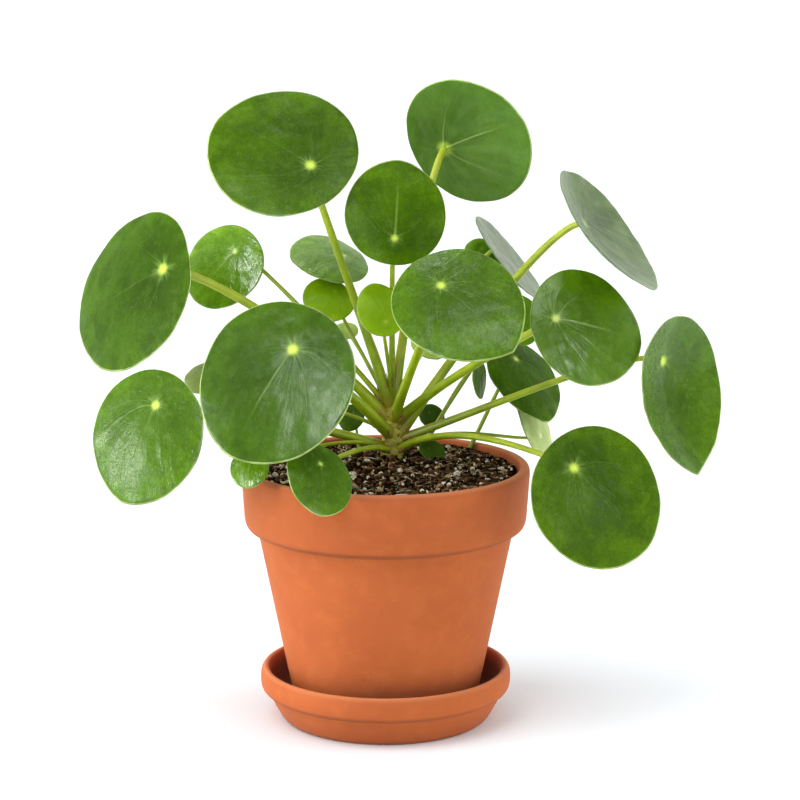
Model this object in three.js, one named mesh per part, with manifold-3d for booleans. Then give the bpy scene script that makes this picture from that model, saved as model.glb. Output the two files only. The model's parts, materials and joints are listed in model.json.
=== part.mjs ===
// Potted Chinese money plant in a terracotta pot on its saucer. Millimetres, +Z up. The origin is the
// centre of the saucer's underside, and the front is the side towards -Y.
import * as THREE from "three";
import Module from "manifold-3d";

const wasm = await Module();
wasm.setup();

// Driving dimensions
const GAP = 0.3; // left between pieces that touch
const TURNED_SIDES = 44; // flats round the pot, the saucer and the soil

const SAUCER = {
  footRadius: 46,
  rimRadius: 57.8,
  wall: 4.4,
  height: 24.5,
  bandHeight: 11.3, // of the rounded band under its rim
  floor: 6.2, // thickness of its floor
};

const POT = {
  height: 112.5,
  footRadius: 42,
  shoulderRadius: 58.3, // of the body, just under the collar
  rimRadius: 65.9,
  collarHeight: 29.6,
  rimWall: 4.5,
  insideFootRadius: 37.5, // where the inner wall meets the floor
  base: 6, // thickness of its floor
  drainRadius: 6,
};

const SOIL = {
  belowRim: 4.8,
  mound: 4, // height of the heap round the trunk
  moundReach: 30,
  crumbs: 170,
  crumbReach: 58, // how far from the middle they lie
  crumbRadius: 3.4,
  crumbHeight: 1.1,
  rings: 11, // of corners in its surface
};

const TRUNK = { at: [3, 15], radius: 5, buried: 22, top: 145, scars: 5 };

const BLADE = {
  thickness: 0.8,
  ripple: 0.5, // of the rim of a blade 30 mm in radius
  large: 15, // radius above which a blade has more facets
  tipReach: 0.6, // radians either side of the tip that the point is drawn out over
};
const STALK = { steps: 9, buried: 9, thick: 1.25, underBlade: 0.1 };

// Places worked out from them
const potFoot = SAUCER.floor + GAP;
const potTop = potFoot + POT.height;
const collarFoot = potTop - POT.collarHeight;
const insideTop = POT.rimRadius - POT.rimWall;
const insideFloor = potFoot + POT.base;
const insideTaper = (insideTop - POT.insideFootRadius) / (potTop - insideFloor);
const insideRadius = (z) => insideTop - insideTaper * (potTop - z);
const soilEdge = potTop - SOIL.belowRim;

const radians = (degrees) => (degrees * Math.PI) / 180;

// A repeatable draw between 0 and 1
function seeded(seed) {
  let state = seed;
  return () => {
    state = (state * 16807) % 2147483647;
    return state / 2147483647;
  };
}

// Solids, so that pieces can be cut by their neighbours
function solidFrom(positions, faces) {
  const vertProperties = new Float32Array(positions.flat());
  const triVerts = new Uint32Array(faces.flat());
  return new wasm.Manifold(new wasm.Mesh({ numProp: 3, vertProperties, triVerts }));
}

function geometryOf(solid) {
  const mesh = solid.getMesh();
  const geometry = new THREE.BufferGeometry();
  geometry.setAttribute("position", new THREE.BufferAttribute(new Float32Array(mesh.vertProperties), 3));
  geometry.setIndex(new THREE.BufferAttribute(new Uint32Array(mesh.triVerts), 1));
  const faceted = geometry.toNonIndexed();
  faceted.computeVertexNormals();
  return faceted;
}

function largestBody(solid) {
  const larger = (best, body) => (body.volume() > best.volume() ? body : best);
  return solid.decompose().reduce(larger);
}

// A turned shape from rows of [radius, height], each a ring of corners joined to the next. The rows run from
// axis to axis or, round a hole through the middle, back to the first.
function turned(rows, sides, [x, y] = [0, 0]) {
  const holed = rows[0][0] > 0;
  const positions = [];
  const faces = [];
  const first = [];
  rows.forEach(([radius, z]) => {
    first.push(positions.length);
    const count = radius > 0 ? sides : 1;
    for (let i = 0; i < count; i++) {
      const angle = (2 * Math.PI * i) / sides;
      positions.push([x + radius * Math.cos(angle), y + radius * Math.sin(angle), z]);
    }
  });
  const corner = (row, i) => first[row] + (rows[row][0] > 0 ? i % sides : 0);
  const bands = holed ? rows.length : rows.length - 1;
  for (let row = 0; row < bands; row++) {
    const next = (row + 1) % rows.length;
    for (let i = 0; i < sides; i++) {
      if (rows[row][0] > 0) faces.push([corner(row, i), corner(row, i + 1), corner(next, i)]);
      if (rows[next][0] > 0) faces.push([corner(row, i + 1), corner(next, i + 1), corner(next, i)]);
    }
  }
  return solidFrom(positions, faces);
}

// Saucer: a thick dish with a rounded band under its rim
function saucer() {
  const { footRadius, rimRadius, wall, height, bandHeight, floor } = SAUCER;
  const bandFoot = height - bandHeight;
  const ledge = rimRadius - 3.6;
  const inner = rimRadius - wall;
  return turned(
    [
      [0, 0],
      [footRadius, 0],
      [footRadius + 2, 1.2],
      [footRadius + 5.2, bandFoot / 2],
      [ledge - 0.5, bandFoot - 1.6],
      [ledge, bandFoot - 0.3],
      [rimRadius - 1.6, bandFoot + 0.4],
      [rimRadius - 0.4, bandFoot + 2],
      [rimRadius, bandFoot + 5.5],
      [rimRadius - 0.3, height - 2.2],
      [rimRadius - 1.3, height - 0.5],
      [rimRadius - 2.4, height],
      [rimRadius - 3.6, height - 0.3],
      [inner, height - 1.7],
      [inner - 0.9, height - 7],
      [inner - 3, floor + 5],
      [inner - 6.6, floor + 1],
      [inner - 9.2, floor],
      [0, floor],
    ],
    TURNED_SIDES,
  );
}

// Pot: a tapered body under a tall collar, with a rounded lip and one drain hole
function pot() {
  const { footRadius, shoulderRadius, rimRadius, drainRadius } = POT;
  return turned(
    [
      [drainRadius, potFoot],
      [footRadius - 1.4, potFoot],
      [footRadius, potFoot + 1.2],
      [shoulderRadius, collarFoot - 1.6],
      [shoulderRadius + 0.4, collarFoot - 0.2],
      [shoulderRadius + 2.4, collarFoot + 0.2],
      [rimRadius - 2.4, collarFoot + 1.6],
      [rimRadius - 1.4, collarFoot + 4.6],
      [rimRadius, potTop - 4],
      [rimRadius - 0.1, potTop - 1.8],
      [rimRadius - 0.9, potTop - 0.5],
      [rimRadius - 2.1, potTop],
      [insideTop + 0.6, potTop - 0.3],
      [insideTop - 0.2, potTop - 1.5],
      [insideRadius(insideFloor + 2), insideFloor + 2],
      [insideRadius(insideFloor) - 1.6, insideFloor],
      [drainRadius, insideFloor],
    ],
    TURNED_SIDES,
  );
}

// Soil: a filling that stands clear of the wall, mounded towards the trunk and rough with crumbs
function soil(holes) {
  const draw = seeded(31);
  const crumbs = Array.from({ length: SOIL.crumbs }, () => {
    const reach = SOIL.crumbReach * Math.sqrt(draw());
    const angle = 2 * Math.PI * draw();
    return { x: reach * Math.cos(angle), y: reach * Math.sin(angle), size: 0.6 + 0.8 * draw() };
  });
  const surface = (x, y) => {
    const fromTrunk = Math.hypot(x - TRUNK.at[0], y - TRUNK.at[1]);
    const mound = SOIL.mound * Math.exp(-((fromTrunk / SOIL.moundReach) ** 2));
    const relief = crumbs.map((crumb) => {
      const away = Math.hypot(x - crumb.x, y - crumb.y) / (SOIL.crumbRadius * crumb.size);
      return SOIL.crumbHeight * crumb.size * Math.sqrt(Math.max(0, 1 - away * away));
    });
    return soilEdge + mound + Math.max(...relief);
  };
  const edgeRadius = insideRadius(soilEdge) - GAP;
  const footRadius = insideRadius(insideFloor + 2) - GAP;
  const { rings } = SOIL;
  const positions = [[0, 0, surface(0, 0)]];
  const faces = [];
  const around = (radius, height) => {
    for (let i = 0; i < TURNED_SIDES; i++) {
      const angle = (2 * Math.PI * i) / TURNED_SIDES;
      const x = radius * Math.cos(angle);
      const y = radius * Math.sin(angle);
      positions.push([x, y, height === undefined ? surface(x, y) : height]);
    }
  };
  for (let ring = 1; ring <= rings; ring++) around((edgeRadius - 0.4) * (ring / rings));
  around(edgeRadius, soilEdge - 0.6);
  around(footRadius, insideFloor + 2 + GAP);
  around(footRadius - 2.4, insideFloor + GAP);
  positions.push([0, 0, insideFloor + GAP]);
  const bottom = positions.length - 1;
  const corner = (ring, i) => 1 + ring * TURNED_SIDES + (i % TURNED_SIDES);
  for (let i = 0; i < TURNED_SIDES; i++) {
    faces.push([0, corner(0, i), corner(0, i + 1)]);
    for (let ring = 0; ring < rings + 2; ring++) {
      faces.push([corner(ring, i), corner(ring + 1, i), corner(ring + 1, i + 1)]);
      faces.push([corner(ring, i), corner(ring + 1, i + 1), corner(ring, i + 1)]);
    }
    faces.push([corner(rings + 2, i), bottom, corner(rings + 2, i + 1)]);
  }
  const filling = solidFrom(positions, faces);
  return holes.reduce((left, hole) => left.subtract(hole), filling);
}

// Trunk: a short knobbly stem with a leaf scar at each swelling and a blunt crown
function trunkRows(clearance) {
  const { radius, buried, top, scars } = TRUNK;
  const soilTop = soilEdge + SOIL.mound + SOIL.crumbHeight * 1.6;
  const rows = [
    [0, soilTop - buried - clearance],
    [radius - 1.2 + clearance, soilTop - buried - clearance],
    [radius + clearance, soilTop - buried + 3],
    [radius + clearance, soilTop],
  ];
  const scarHeight = (top - soilTop - 3) / scars;
  for (let scar = 0; scar < scars; scar++) {
    const foot = soilTop + scarHeight * scar;
    rows.push([radius + 0.5 - 0.14 * scar + clearance, foot + 0.4 * scarHeight]);
    rows.push([radius - 0.5 - 0.14 * scar + clearance, foot + 0.9 * scarHeight]);
  }
  rows.push([radius - 2.4 + clearance, top - 1 + clearance / 2], [0, top + clearance]);
  return rows;
}

const trunkHole = () => {
  const top = potTop + 10;
  const foot = soilEdge - TRUNK.buried + 1;
  const radius = TRUNK.radius + GAP;
  return turned([[0, foot], [radius, foot], [radius, top], [0, top]], 16, TRUNK.at);
};

// Leaves: the joint of stalk and blade; the blade's radius; where its upper face looks, as an angle from the
// front towards +X and one above level; which way its tip hangs, from straight down towards +X; how its rim
// bends, up or, below zero, down; how far the joint sits from the middle; and how pointed the tip is. Then
// the stalk: its root as a height on the trunk or as a place in the soil, its upward slope there, its radius,
// the reach of that slope, the reach of its last bend, and how far that bend arches up.
const leaf = (joint, radius, faces, tip, bend, offset, point, stem) => ({
  joint,
  radius,
  faces,
  tip,
  bend,
  offset,
  point,
  stem,
});
const stalk = (root, rise, radius, reach = 0.42, hook = 0.13, arch = 0) => ({
  root,
  rise,
  radius,
  reach,
  hook,
  arch,
});

const LEAVES = [
  leaf([-33.5, -5, 256], 34, [0, 38], -126, -0.12, 0.48, 0, stalk(139, 72, 1.85)),
  leaf([27.5, 40, 259], 32.2, [152, 22], -113, -0.12, 0.52, 0.01, stalk(137, 80, 2)),
  leaf([4, -10, 224], 23.3, [8, 15], 174, -0.12, 0.5, 0.03, stalk(142, 88, 1.3)),
  leaf([24, -45, 208], 29.2, [1, 45], 44, -0.12, 0.39, 0.1, stalk(134, 52, 1.9)),
  leaf([-99.5, -10, 210], 38.2, [-46, 24], -59, -0.12, 0.62, 0.01, stalk(134, 52, 2.1, 0.42, 0.13, 8)),
  leaf([-102, -30, 152], 29.8, [-30, 20], -16, -0.12, 0.49, 0.04, stalk(122, 24, 1.9)),
  leaf([-40, -60, 182.5], 35.8, [-16, 27], -27, -0.13, 0.44, 0.03, stalk(128, 38, 2.2)),
  leaf([-69.5, 30, 212.5], 20.1, [-23, 26], -37, -0.14, 0.45, 0.01, stalk(140, 50, 1.1, 0.42, 0.13, 6)),
  leaf([-19.5, 45, 208.5], 18.7, [39, 60], -94, -0.11, 0.41, 0.03, stalk(141, 72, 1.1)),
  leaf([-23.5, 28, 194], 12.4, [22, 47], -46, -0.12, 0.43, 0.03, stalk(140, 62, 0.9)),
  leaf([0, -6, 185.5], 12.3, [28, 22], -173, -0.12, 0.48, 0.03, stalk(142, 78, 0.9, 0.5)),
  leaf([90, 10, 228], 33, [71, 37], -14, 0.24, 0.27, 0.06, stalk(124, 57, 1.9, 0.6, 0.1, 10)),
  leaf([51, 45, 212], 24.5, [81, 38], 41, 0.04, 0.45, 0.05, stalk(141, 62, 1.1)),
  leaf([45.5, 62, 209.5], 9.5, [20, 40], 0, -0.12, 0.4, 0.02, stalk(141, 58, 0.9)),
  leaf([75, -30, 191], 27.5, [25, 27], 74, -0.13, 0.6, 0.03, stalk(134, 42, 1.9)),
  leaf([126.5, 8, 165], 33.5, [52, 4], -3, 0.32, 0.4, 0.11, stalk(126, 20, 1.6, 0.42, 0.13, 7)),
  leaf([82.5, -50, 128], 31.6, [20, 20], 38, -0.12, 0.56, 0, stalk(120, 38, 1.45, 0.42, 0.13, 4)),
  leaf([61.5, 47, 159], 22.3, [49, 42], 0, -0.11, 0.44, 0.06, stalk([34, 43], 62, 1)),
  leaf([60, 24, 185.5], 12, [25, 25], 20, -0.12, 0.35, 0.02, stalk([8, 30], 60, 0.9)),
  leaf([73.5, 44, 122.5], 16.5, [67, 21], 163, -0.13, 0.45, 0.03, stalk(121, 28, 0.9, 0.42, 0.2)),
  leaf([43, 20, 160], 9.5, [70, 8], 15, -0.1, 0.6, 0.05, stalk([9, 23], 60, 0.8)),
  leaf([-28, -64, 133], 16.6, [40, 37], -22, -0.12, 0.42, 0.03, stalk(121, 24, 1.1)),
  leaf([-59.5, -42, 130], 8.9, [-9, 35], -4, -0.13, 0.44, 0.03, stalk(122, 27, 0.8)),
  leaf([20, 45, 169], 9.5, [10, 62], 10, -0.12, 0.4, 0.03, stalk(137, 55, 0.8)),
  leaf([-18.5, 50, 174], 5.6, [10, 60], 0, -0.12, 0.4, 0.03, stalk(138, 56, 0.7, 0.42, 0.08)),
  leaf([-80.5, 0, 159], 9, [-30, 45], -90, -0.12, 0.4, 0.1, stalk(130, 30, 0.8)),
];

// Young offsets that rise from the soil beside the trunk, each a leaf in one piece with its stalk
const OFFSETS = [
  leaf([20.5, 44, 134], 6.5, [20, 35], 30, -0.12, 0.4, 0.03, stalk([17, 38], 75, 0.7)),
  leaf([20, 17, 122.5], 6, [20, 48], 60, -0.12, 0.3, 0.03, stalk([16, 26], 55, 0.7)),
  leaf([-15, 28, 137], 6.5, [-20, 30], -20, -0.12, 0.4, 0.03, stalk([-9, 30], 70, 0.7)),
];

// The upper face's normal, the direction of the tip and the direction across
function bladeFrame({ faces: [azimuth, elevation], tip }) {
  const a = radians(azimuth);
  const e = radians(elevation);
  const r = radians(tip);
  const normal = new THREE.Vector3(Math.sin(a), -Math.cos(a), 0);
  normal.multiplyScalar(Math.cos(e)).setZ(Math.sin(e));
  const level = new THREE.Vector3(Math.cos(a), Math.sin(a), 0);
  const downhill = new THREE.Vector3().crossVectors(level, normal);
  if (downhill.z > 0) downhill.negate();
  const along = downhill.multiplyScalar(Math.cos(r)).addScaledVector(level, Math.sin(r));
  const across = new THREE.Vector3().crossVectors(normal, along);
  return { normal, along, across };
}

// Blade: nearly round, joined to its stalk inside its rim, and drawn out to a slight tip
function blade(plan, index) {
  const { joint, radius, bend, offset, point } = plan;
  const { normal, along, across } = bladeFrame(plan);
  const sides = radius > BLADE.large ? 22 : 14;
  const shares = radius > BLADE.large ? [0.38, 0.72, 1] : [0.6, 1];
  const middle = 0.5 * offset * radius;
  const phase = index * 2.4; // so that no two rims wave alike
  const height = (t, b, share, angle) => {
    const dome = (bend * ((t - middle) ** 2 + b * b - middle * middle)) / radius;
    return dome + BLADE.ripple * (radius / 30) * share ** 3 * Math.sin(3 * angle + phase);
  };
  const place = (t, b, h) =>
    new THREE.Vector3(...joint)
      .addScaledVector(along, t)
      .addScaledVector(across, b)
      .addScaledVector(normal, h)
      .toArray();
  const positions = [];
  const faces = [];
  for (const side of [1, -1]) {
    const lift = (side * BLADE.thickness) / 2;
    positions.push(place(0, 0, lift));
    for (const share of shares) {
      for (let i = 0; i < sides; i++) {
        const angle = (2 * Math.PI * i) / sides;
        const fromTip = Math.min(angle, 2 * Math.PI - angle) / BLADE.tipReach;
        const drawn = 1 + point * Math.max(0, 1 - fromTip) ** 1.6;
        const t = share * radius * (offset + 1.02 * Math.cos(angle) * drawn);
        const b = share * radius * 0.98 * Math.sin(angle) * (1 - 0.05 * Math.cos(angle)) * drawn;
        positions.push(place(t, b, height(t, b, share, angle) + lift));
      }
    }
  }
  const perFace = 1 + shares.length * sides;
  const corner = (face, ring, i) => face * perFace + 1 + ring * sides + (i % sides);
  const turn = ([a, b, c], face) => (face ? [a, c, b] : [a, b, c]);
  for (const face of [0, 1]) {
    for (let i = 0; i < sides; i++) {
      faces.push(turn([face * perFace, corner(face, 0, i), corner(face, 0, i + 1)], face));
      for (let ring = 0; ring + 1 < shares.length; ring++) {
        const [inner, innerNext] = [corner(face, ring, i), corner(face, ring, i + 1)];
        const [outer, outerNext] = [corner(face, ring + 1, i), corner(face, ring + 1, i + 1)];
        faces.push(turn([inner, outer, outerNext], face), turn([inner, outerNext, innerNext], face));
      }
    }
  }
  const rim = shares.length - 1;
  for (let i = 0; i < sides; i++) {
    const [upper, upperNext] = [corner(0, rim, i), corner(0, rim, i + 1)];
    const [lower, lowerNext] = [corner(1, rim, i), corner(1, rim, i + 1)];
    faces.push([upper, lower, lowerNext], [upper, lowerNext, upperNext]);
  }
  return solidFrom(positions, faces);
}

// Stalk: leaves the trunk's middle, or the soil, on its own slope and bends in behind the blade. It stops
// just under the blade, unless it blends into it.
function stalkPath(plan, blend) {
  const { root, rise, radius, reach, hook, arch } = plan.stem;
  const { normal } = bladeFrame(plan);
  const joined = new THREE.Vector3(...plan.joint);
  const inSoil = Array.isArray(root);
  const start = inSoil
    ? new THREE.Vector3(...root, soilEdge - STALK.buried)
    : new THREE.Vector3(...TRUNK.at, root);
  const span = start.distanceTo(joined);
  const outward = new THREE.Vector3(joined.x - start.x, joined.y - start.y, 0).normalize();
  const leave = outward.multiplyScalar(Math.cos(radians(rise))).setZ(Math.sin(radians(rise)));
  const near = start.clone().addScaledVector(leave, reach * span);
  const far = joined.clone().addScaledVector(normal, -hook * span);
  far.z += arch;
  const askew = joined.clone().sub(far).normalize().cross(normal).length();
  const short = blend ? 0 : BLADE.thickness / 2 + GAP + STALK.underBlade + radius * askew;
  const end = joined.addScaledVector(normal, -short);
  return new THREE.CubicBezierCurve3(start, near, far, end);
}

function stalkSolid(plan, clearance, blend = false) {
  const path = stalkPath(plan, blend);
  const { steps, thick } = STALK;
  const sides = plan.stem.radius > thick ? 6 : 5;
  const positions = [];
  const faces = [];
  for (let step = 0; step <= steps; step++) {
    const share = step / steps;
    const radius = plan.stem.radius * (1.15 - 0.3 * share) + clearance;
    const middle = path.getPoint(share);
    const onward = path.getTangent(share);
    const sideways = new THREE.Vector3(path.v0.y - path.v3.y, path.v3.x - path.v0.x, 0);
    sideways.addScaledVector(onward, -sideways.dot(onward)).normalize();
    const upwards = new THREE.Vector3().crossVectors(onward, sideways);
    for (let i = 0; i < sides; i++) {
      const angle = (2 * Math.PI * i) / sides;
      const place = middle.clone().addScaledVector(sideways, radius * Math.cos(angle));
      positions.push(place.addScaledVector(upwards, radius * Math.sin(angle)).toArray());
    }
  }
  const corner = (step, i) => step * sides + (i % sides);
  for (let i = 0; i < sides; i++) {
    for (let step = 0; step < steps; step++) {
      faces.push([corner(step, i), corner(step, i + 1), corner(step + 1, i + 1)]);
      faces.push([corner(step, i), corner(step + 1, i + 1), corner(step + 1, i)]);
    }
  }
  for (let i = 1; i + 1 < sides; i++) {
    faces.push([corner(0, 0), corner(0, i + 1), corner(0, i)]);
    faces.push([corner(steps, 0), corner(steps, i), corner(steps, i + 1)]);
  }
  return solidFrom(positions, faces);
}

// Materials
const matt = (color, roughness) => new THREE.MeshStandardMaterial({ color, roughness, metalness: 0 });
const TERRACOTTA = matt(0xc96f45, 0.85);
const EARTH = matt(0x3b2a20, 1);
const BARK = matt(0x8a7a3a, 0.8);
const STALK_GREEN = matt(0x93a836, 0.5);
const LEAF_GREEN = matt(0x3f7420, 0.4);

// The whole plant, each piece a named mesh
const plant = new THREE.Group();
plant.name = "potted_money_plant";

function place(name, solid, material) {
  const mesh = new THREE.Mesh(geometryOf(solid), material);
  mesh.name = name;
  plant.add(mesh);
}

const rooted = [...LEAVES.filter((each) => Array.isArray(each.stem.root)), ...OFFSETS];
const soilHoles = rooted.map((each) => stalkSolid(each, GAP));
const numbered = (name, index) => `${name}_${String(index + 1).padStart(2, "0")}`;

place("saucer", saucer(), TERRACOTTA);
place("pot", pot(), TERRACOTTA);
place("soil", largestBody(soil([trunkHole(), ...soilHoles])), EARTH);
place("trunk", turned(trunkRows(0), 12, TRUNK.at), BARK);

// Crowded stalks flatten against the trunk and against the ones already placed
let taken = turned(trunkRows(GAP), 12, TRUNK.at);
LEAVES.forEach((each, index) => {
  place(numbered("leaf_stalk", index), largestBody(stalkSolid(each, 0).subtract(taken)), STALK_GREEN);
  place(numbered("leaf_blade", index), blade(each, index), LEAF_GREEN);
  taken = taken.add(stalkSolid(each, GAP));
});
OFFSETS.forEach((each, index) => {
  const young = stalkSolid(each, 0, true).add(blade(each, index));
  place(numbered("offset", index), largestBody(young.subtract(taken)), LEAF_GREEN);
});

export default plant;
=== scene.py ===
import json
import math
from collections import namedtuple

import bpy
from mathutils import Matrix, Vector, noise

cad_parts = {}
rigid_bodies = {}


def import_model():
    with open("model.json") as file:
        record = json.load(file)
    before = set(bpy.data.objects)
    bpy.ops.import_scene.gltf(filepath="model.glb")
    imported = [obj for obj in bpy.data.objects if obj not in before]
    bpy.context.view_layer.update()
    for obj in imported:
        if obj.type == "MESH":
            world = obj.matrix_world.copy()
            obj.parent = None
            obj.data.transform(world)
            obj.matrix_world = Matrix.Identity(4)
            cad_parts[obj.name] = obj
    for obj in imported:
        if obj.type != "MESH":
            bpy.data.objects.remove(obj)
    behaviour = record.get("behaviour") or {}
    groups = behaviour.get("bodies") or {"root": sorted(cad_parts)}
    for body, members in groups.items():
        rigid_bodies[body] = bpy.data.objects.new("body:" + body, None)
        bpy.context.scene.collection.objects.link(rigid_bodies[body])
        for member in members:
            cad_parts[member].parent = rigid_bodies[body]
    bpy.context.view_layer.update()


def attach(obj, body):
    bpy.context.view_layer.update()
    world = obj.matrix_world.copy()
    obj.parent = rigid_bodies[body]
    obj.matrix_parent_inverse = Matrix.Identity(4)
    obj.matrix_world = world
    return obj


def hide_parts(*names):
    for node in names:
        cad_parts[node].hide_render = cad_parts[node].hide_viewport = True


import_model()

# Potted Chinese money plant: terracotta pot and saucer, soil, knobbly trunk, stalks and round leaves.
# Lengths in the tables are millimetres, and MM turns them to the scene's metres.
MM = 0.001
ROOT = "root"

TRUNK_AT = (3.0, 15.0)
SOIL_EDGE = 114.2  # the height at which the solid's soil meets the pot's wall
SOIL_RAISED = 1.6  # how far the loose top stands above that
SOIL_MOUND = 3.2  # how much higher it still is at the trunk
MOUND_REACH = 30.0

# Profiles that are turned round the axis, as (radius, height)
POT_SIDES = 180
SAUCER_PROFILE = [
    (46.0, 0.0), (48.0, 1.2), (51.2, 6.6), (53.7, 11.6), (54.2, 12.9), (56.2, 13.6), (57.4, 15.2),
    (57.8, 18.7), (57.5, 22.3), (56.5, 24.0), (55.4, 24.5), (54.2, 24.2), (53.4, 22.8), (52.5, 17.5),
    (50.4, 11.2), (46.8, 7.2), (44.2, 6.2),
]
POT_PROFILE = [
    (6.0, 6.5), (40.6, 6.5), (42.0, 7.7), (58.3, 87.8), (58.7, 89.2), (60.7, 89.6), (63.5, 91.0),
    (64.5, 94.0), (65.9, 115.0), (65.8, 117.2), (65.0, 118.5), (63.8, 119.0), (62.0, 118.7),
    (61.2, 117.5), (37.95, 14.5), (35.9, 12.5), (6.0, 12.5),
]

# A stalk: its root, which is a height on the trunk or a place on the soil, its slope there in degrees, its
# radius, how much of its length keeps to that slope, how much comes in square to the blade, and its arch
Stem = namedtuple("Stem", "root rise thick reach hook arch", defaults=(0.42, 0.13, 0.0))

# A leaf: the joint of stalk and blade, the blade's radius, where its upper face looks in degrees right of the
# front and up, the turn of its tip, how far it is domed (-) or cupped (+), how far the joint lies off its
# middle, how drawn out its tip is, its stalk, and its look
Leaf = namedtuple("Leaf", "joint radius faces tip bend offset point stem look", defaults=("grown",))

# Leaves 01 to 26, in that order
LEAVES = [
    Leaf((-33.5, -5, 256), 34, (0, 38), -126, -0.12, 0.48, 0, Stem(139, 72, 1.85), "calm"),
    Leaf((27.5, 40, 259), 32.2, (152, 22), -113, -0.12, 0.52, 0.01, Stem(137, 80, 2)),
    Leaf((4, -10, 224), 23.3, (8, 15), 174, -0.12, 0.5, 0.03, Stem(142, 88, 1.3), "veined"),
    Leaf((24, -45, 208), 29.2, (1, 45), 44, -0.12, 0.39, 0.1, Stem(134, 52, 1.9)),
    Leaf((-99.5, -10, 210), 38.2, (-46, 24), -59, -0.12, 0.62, 0.01, Stem(134, 52, 2.1, arch=8), "deep"),
    Leaf((-102, -30, 152), 29.8, (-30, 20), -16, -0.12, 0.49, 0.04, Stem(122, 24, 1.9)),
    Leaf((-40, -60, 182.5), 35.8, (-16, 27), -27, -0.13, 0.44, 0.03, Stem(128, 38, 2.2), "dark"),
    Leaf((-69.5, 30, 212.5), 20.1, (-23, 26), -37, -0.14, 0.45, 0.01, Stem(140, 50, 1.1, arch=6), "glossy"),
    Leaf((-19.5, 45, 208.5), 18.7, (39, 60), -94, -0.11, 0.41, 0.03, Stem(141, 72, 1.1), "glossy"),
    Leaf((-23.5, 28, 194), 12.4, (22, 47), -46, -0.12, 0.43, 0.03, Stem(140, 62, 0.9), "young"),
    Leaf((0, -6, 185.5), 12.3, (28, 22), -173, -0.12, 0.48, 0.03, Stem(142, 78, 0.9, 0.5), "young"),
    Leaf((90, 10, 228), 33, (71, 37), -14, 0.24, 0.27, 0.06, Stem(124, 57, 1.9, 0.6, 0.1, 10), "sheen_greyed"),
    Leaf((51, 45, 212), 24.5, (81, 38), 41, 0.04, 0.45, 0.05, Stem(141, 62, 1.1), "sheen_greyed"),
    Leaf((45.5, 62, 209.5), 9.5, (20, 40), 0, -0.12, 0.4, 0.02, Stem(141, 58, 0.9), "shaded"),
    Leaf((75, -30, 191), 27.5, (25, 27), 74, -0.13, 0.6, 0.03, Stem(134, 42, 1.9), "satin"),
    Leaf((126.5, 8, 165), 33.5, (52, 4), -3, 0.32, 0.4, 0.11, Stem(126, 20, 1.6, arch=7)),
    Leaf((82.5, -50, 128), 31.6, (20, 20), 38, -0.12, 0.56, 0, Stem(120, 38, 1.45, arch=4), "matt"),
    Leaf((61.5, 47, 159), 22.3, (49, 42), 0, -0.11, 0.44, 0.06, Stem((34, 43), 62, 1), "matt"),
    Leaf((60, 24, 185.5), 12, (25, 25), 20, -0.12, 0.35, 0.02, Stem((8, 30), 60, 0.9), "shaded"),
    Leaf((73.5, 44, 122.5), 16.5, (67, 21), 163, -0.13, 0.45, 0.03, Stem(121, 28, 0.9, hook=0.2), "pale"),
    Leaf((43, 20, 160), 9.5, (70, 8), 15, -0.1, 0.6, 0.05, Stem((9, 23), 60, 0.8), "darkened_for_shade"),
    Leaf((-28, -64, 133), 16.6, (40, 37), -22, -0.12, 0.42, 0.03, Stem(121, 24, 1.1)),
    Leaf((-59.5, -42, 130), 8.9, (-9, 35), -4, -0.13, 0.44, 0.03, Stem(122, 27, 0.8), "glossy"),
    Leaf((20, 45, 169), 9.5, (10, 62), 10, -0.12, 0.4, 0.03, Stem(137, 55, 0.8), "fresh"),
    Leaf((-18.5, 50, 174), 5.6, (10, 60), 0, -0.12, 0.4, 0.03, Stem(138, 56, 0.7, hook=0.08), "fresh"),
    Leaf((-80.5, 0, 159), 9, (-30, 45), -90, -0.12, 0.4, 0.1, Stem(130, 30, 0.8), "pale"),
]
OFFSETS = [
    Leaf((20.5, 44, 134), 6.5, (20, 35), 30, -0.12, 0.4, 0.03, Stem((17, 38), 75, 0.7), "darkened_for_shade"),
    Leaf((20, 17, 122.5), 6, (20, 48), 60, -0.12, 0.3, 0.03, Stem((16, 26), 55, 0.7), "darkened_for_shade"),
    Leaf((-15, 28, 137), 6.5, (-20, 30), -20, -0.12, 0.4, 0.03, Stem((-9, 30), 70, 0.7), "darkened_for_shade"),
]


# Colours and nodes
def linear(code):
    """The linear RGBA of an sRGB hex colour."""
    channels = [int(code[i:i + 2], 16) / 255 for i in (1, 3, 5)]
    return [c / 12.92 if c <= 0.04045 else ((c + 0.055) / 1.055) ** 2.4 for c in channels] + [1.0]


def shown(made):
    """The socket that a node gives its result on."""
    return next(socket for socket in made.outputs if socket.enabled)


def add(tree, kind, inputs=(), **settings):
    """A node of that kind with its settings; each input is set, or linked from a socket or a node."""
    made = tree.nodes.new(kind)
    for name, value in settings.items():
        setattr(made, name, value)
    for key, value in inputs.items() if isinstance(inputs, dict) else enumerate(inputs):
        if isinstance(value, bpy.types.Node):
            value = shown(value)
        if isinstance(value, bpy.types.NodeSocket):
            tree.links.new(value, made.inputs[key])
        else:
            made.inputs[key].default_value = value
    return made


MATHS, VECTORS, REMAP = "ShaderNodeMath", "ShaderNodeVectorMath", "ShaderNodeMapRange"
SMOOTH = {"interpolation_type": "SMOOTHSTEP"}


def patches(tree, where, size_mm, low, high, least=0.0, most=1.0, detail=3.0, warp=0.0):
    """Soft patches about that many millimetres wide: least where the noise is below low, most above high."""
    noise_inputs = {"Vector": where, "Scale": 1 / (size_mm * MM), "Detail": detail, "Distortion": warp}
    cloud = add(tree, "ShaderNodeTexNoise", noise_inputs)
    return add(tree, REMAP, [cloud, low, high, least, most], **SMOOTH)


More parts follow.
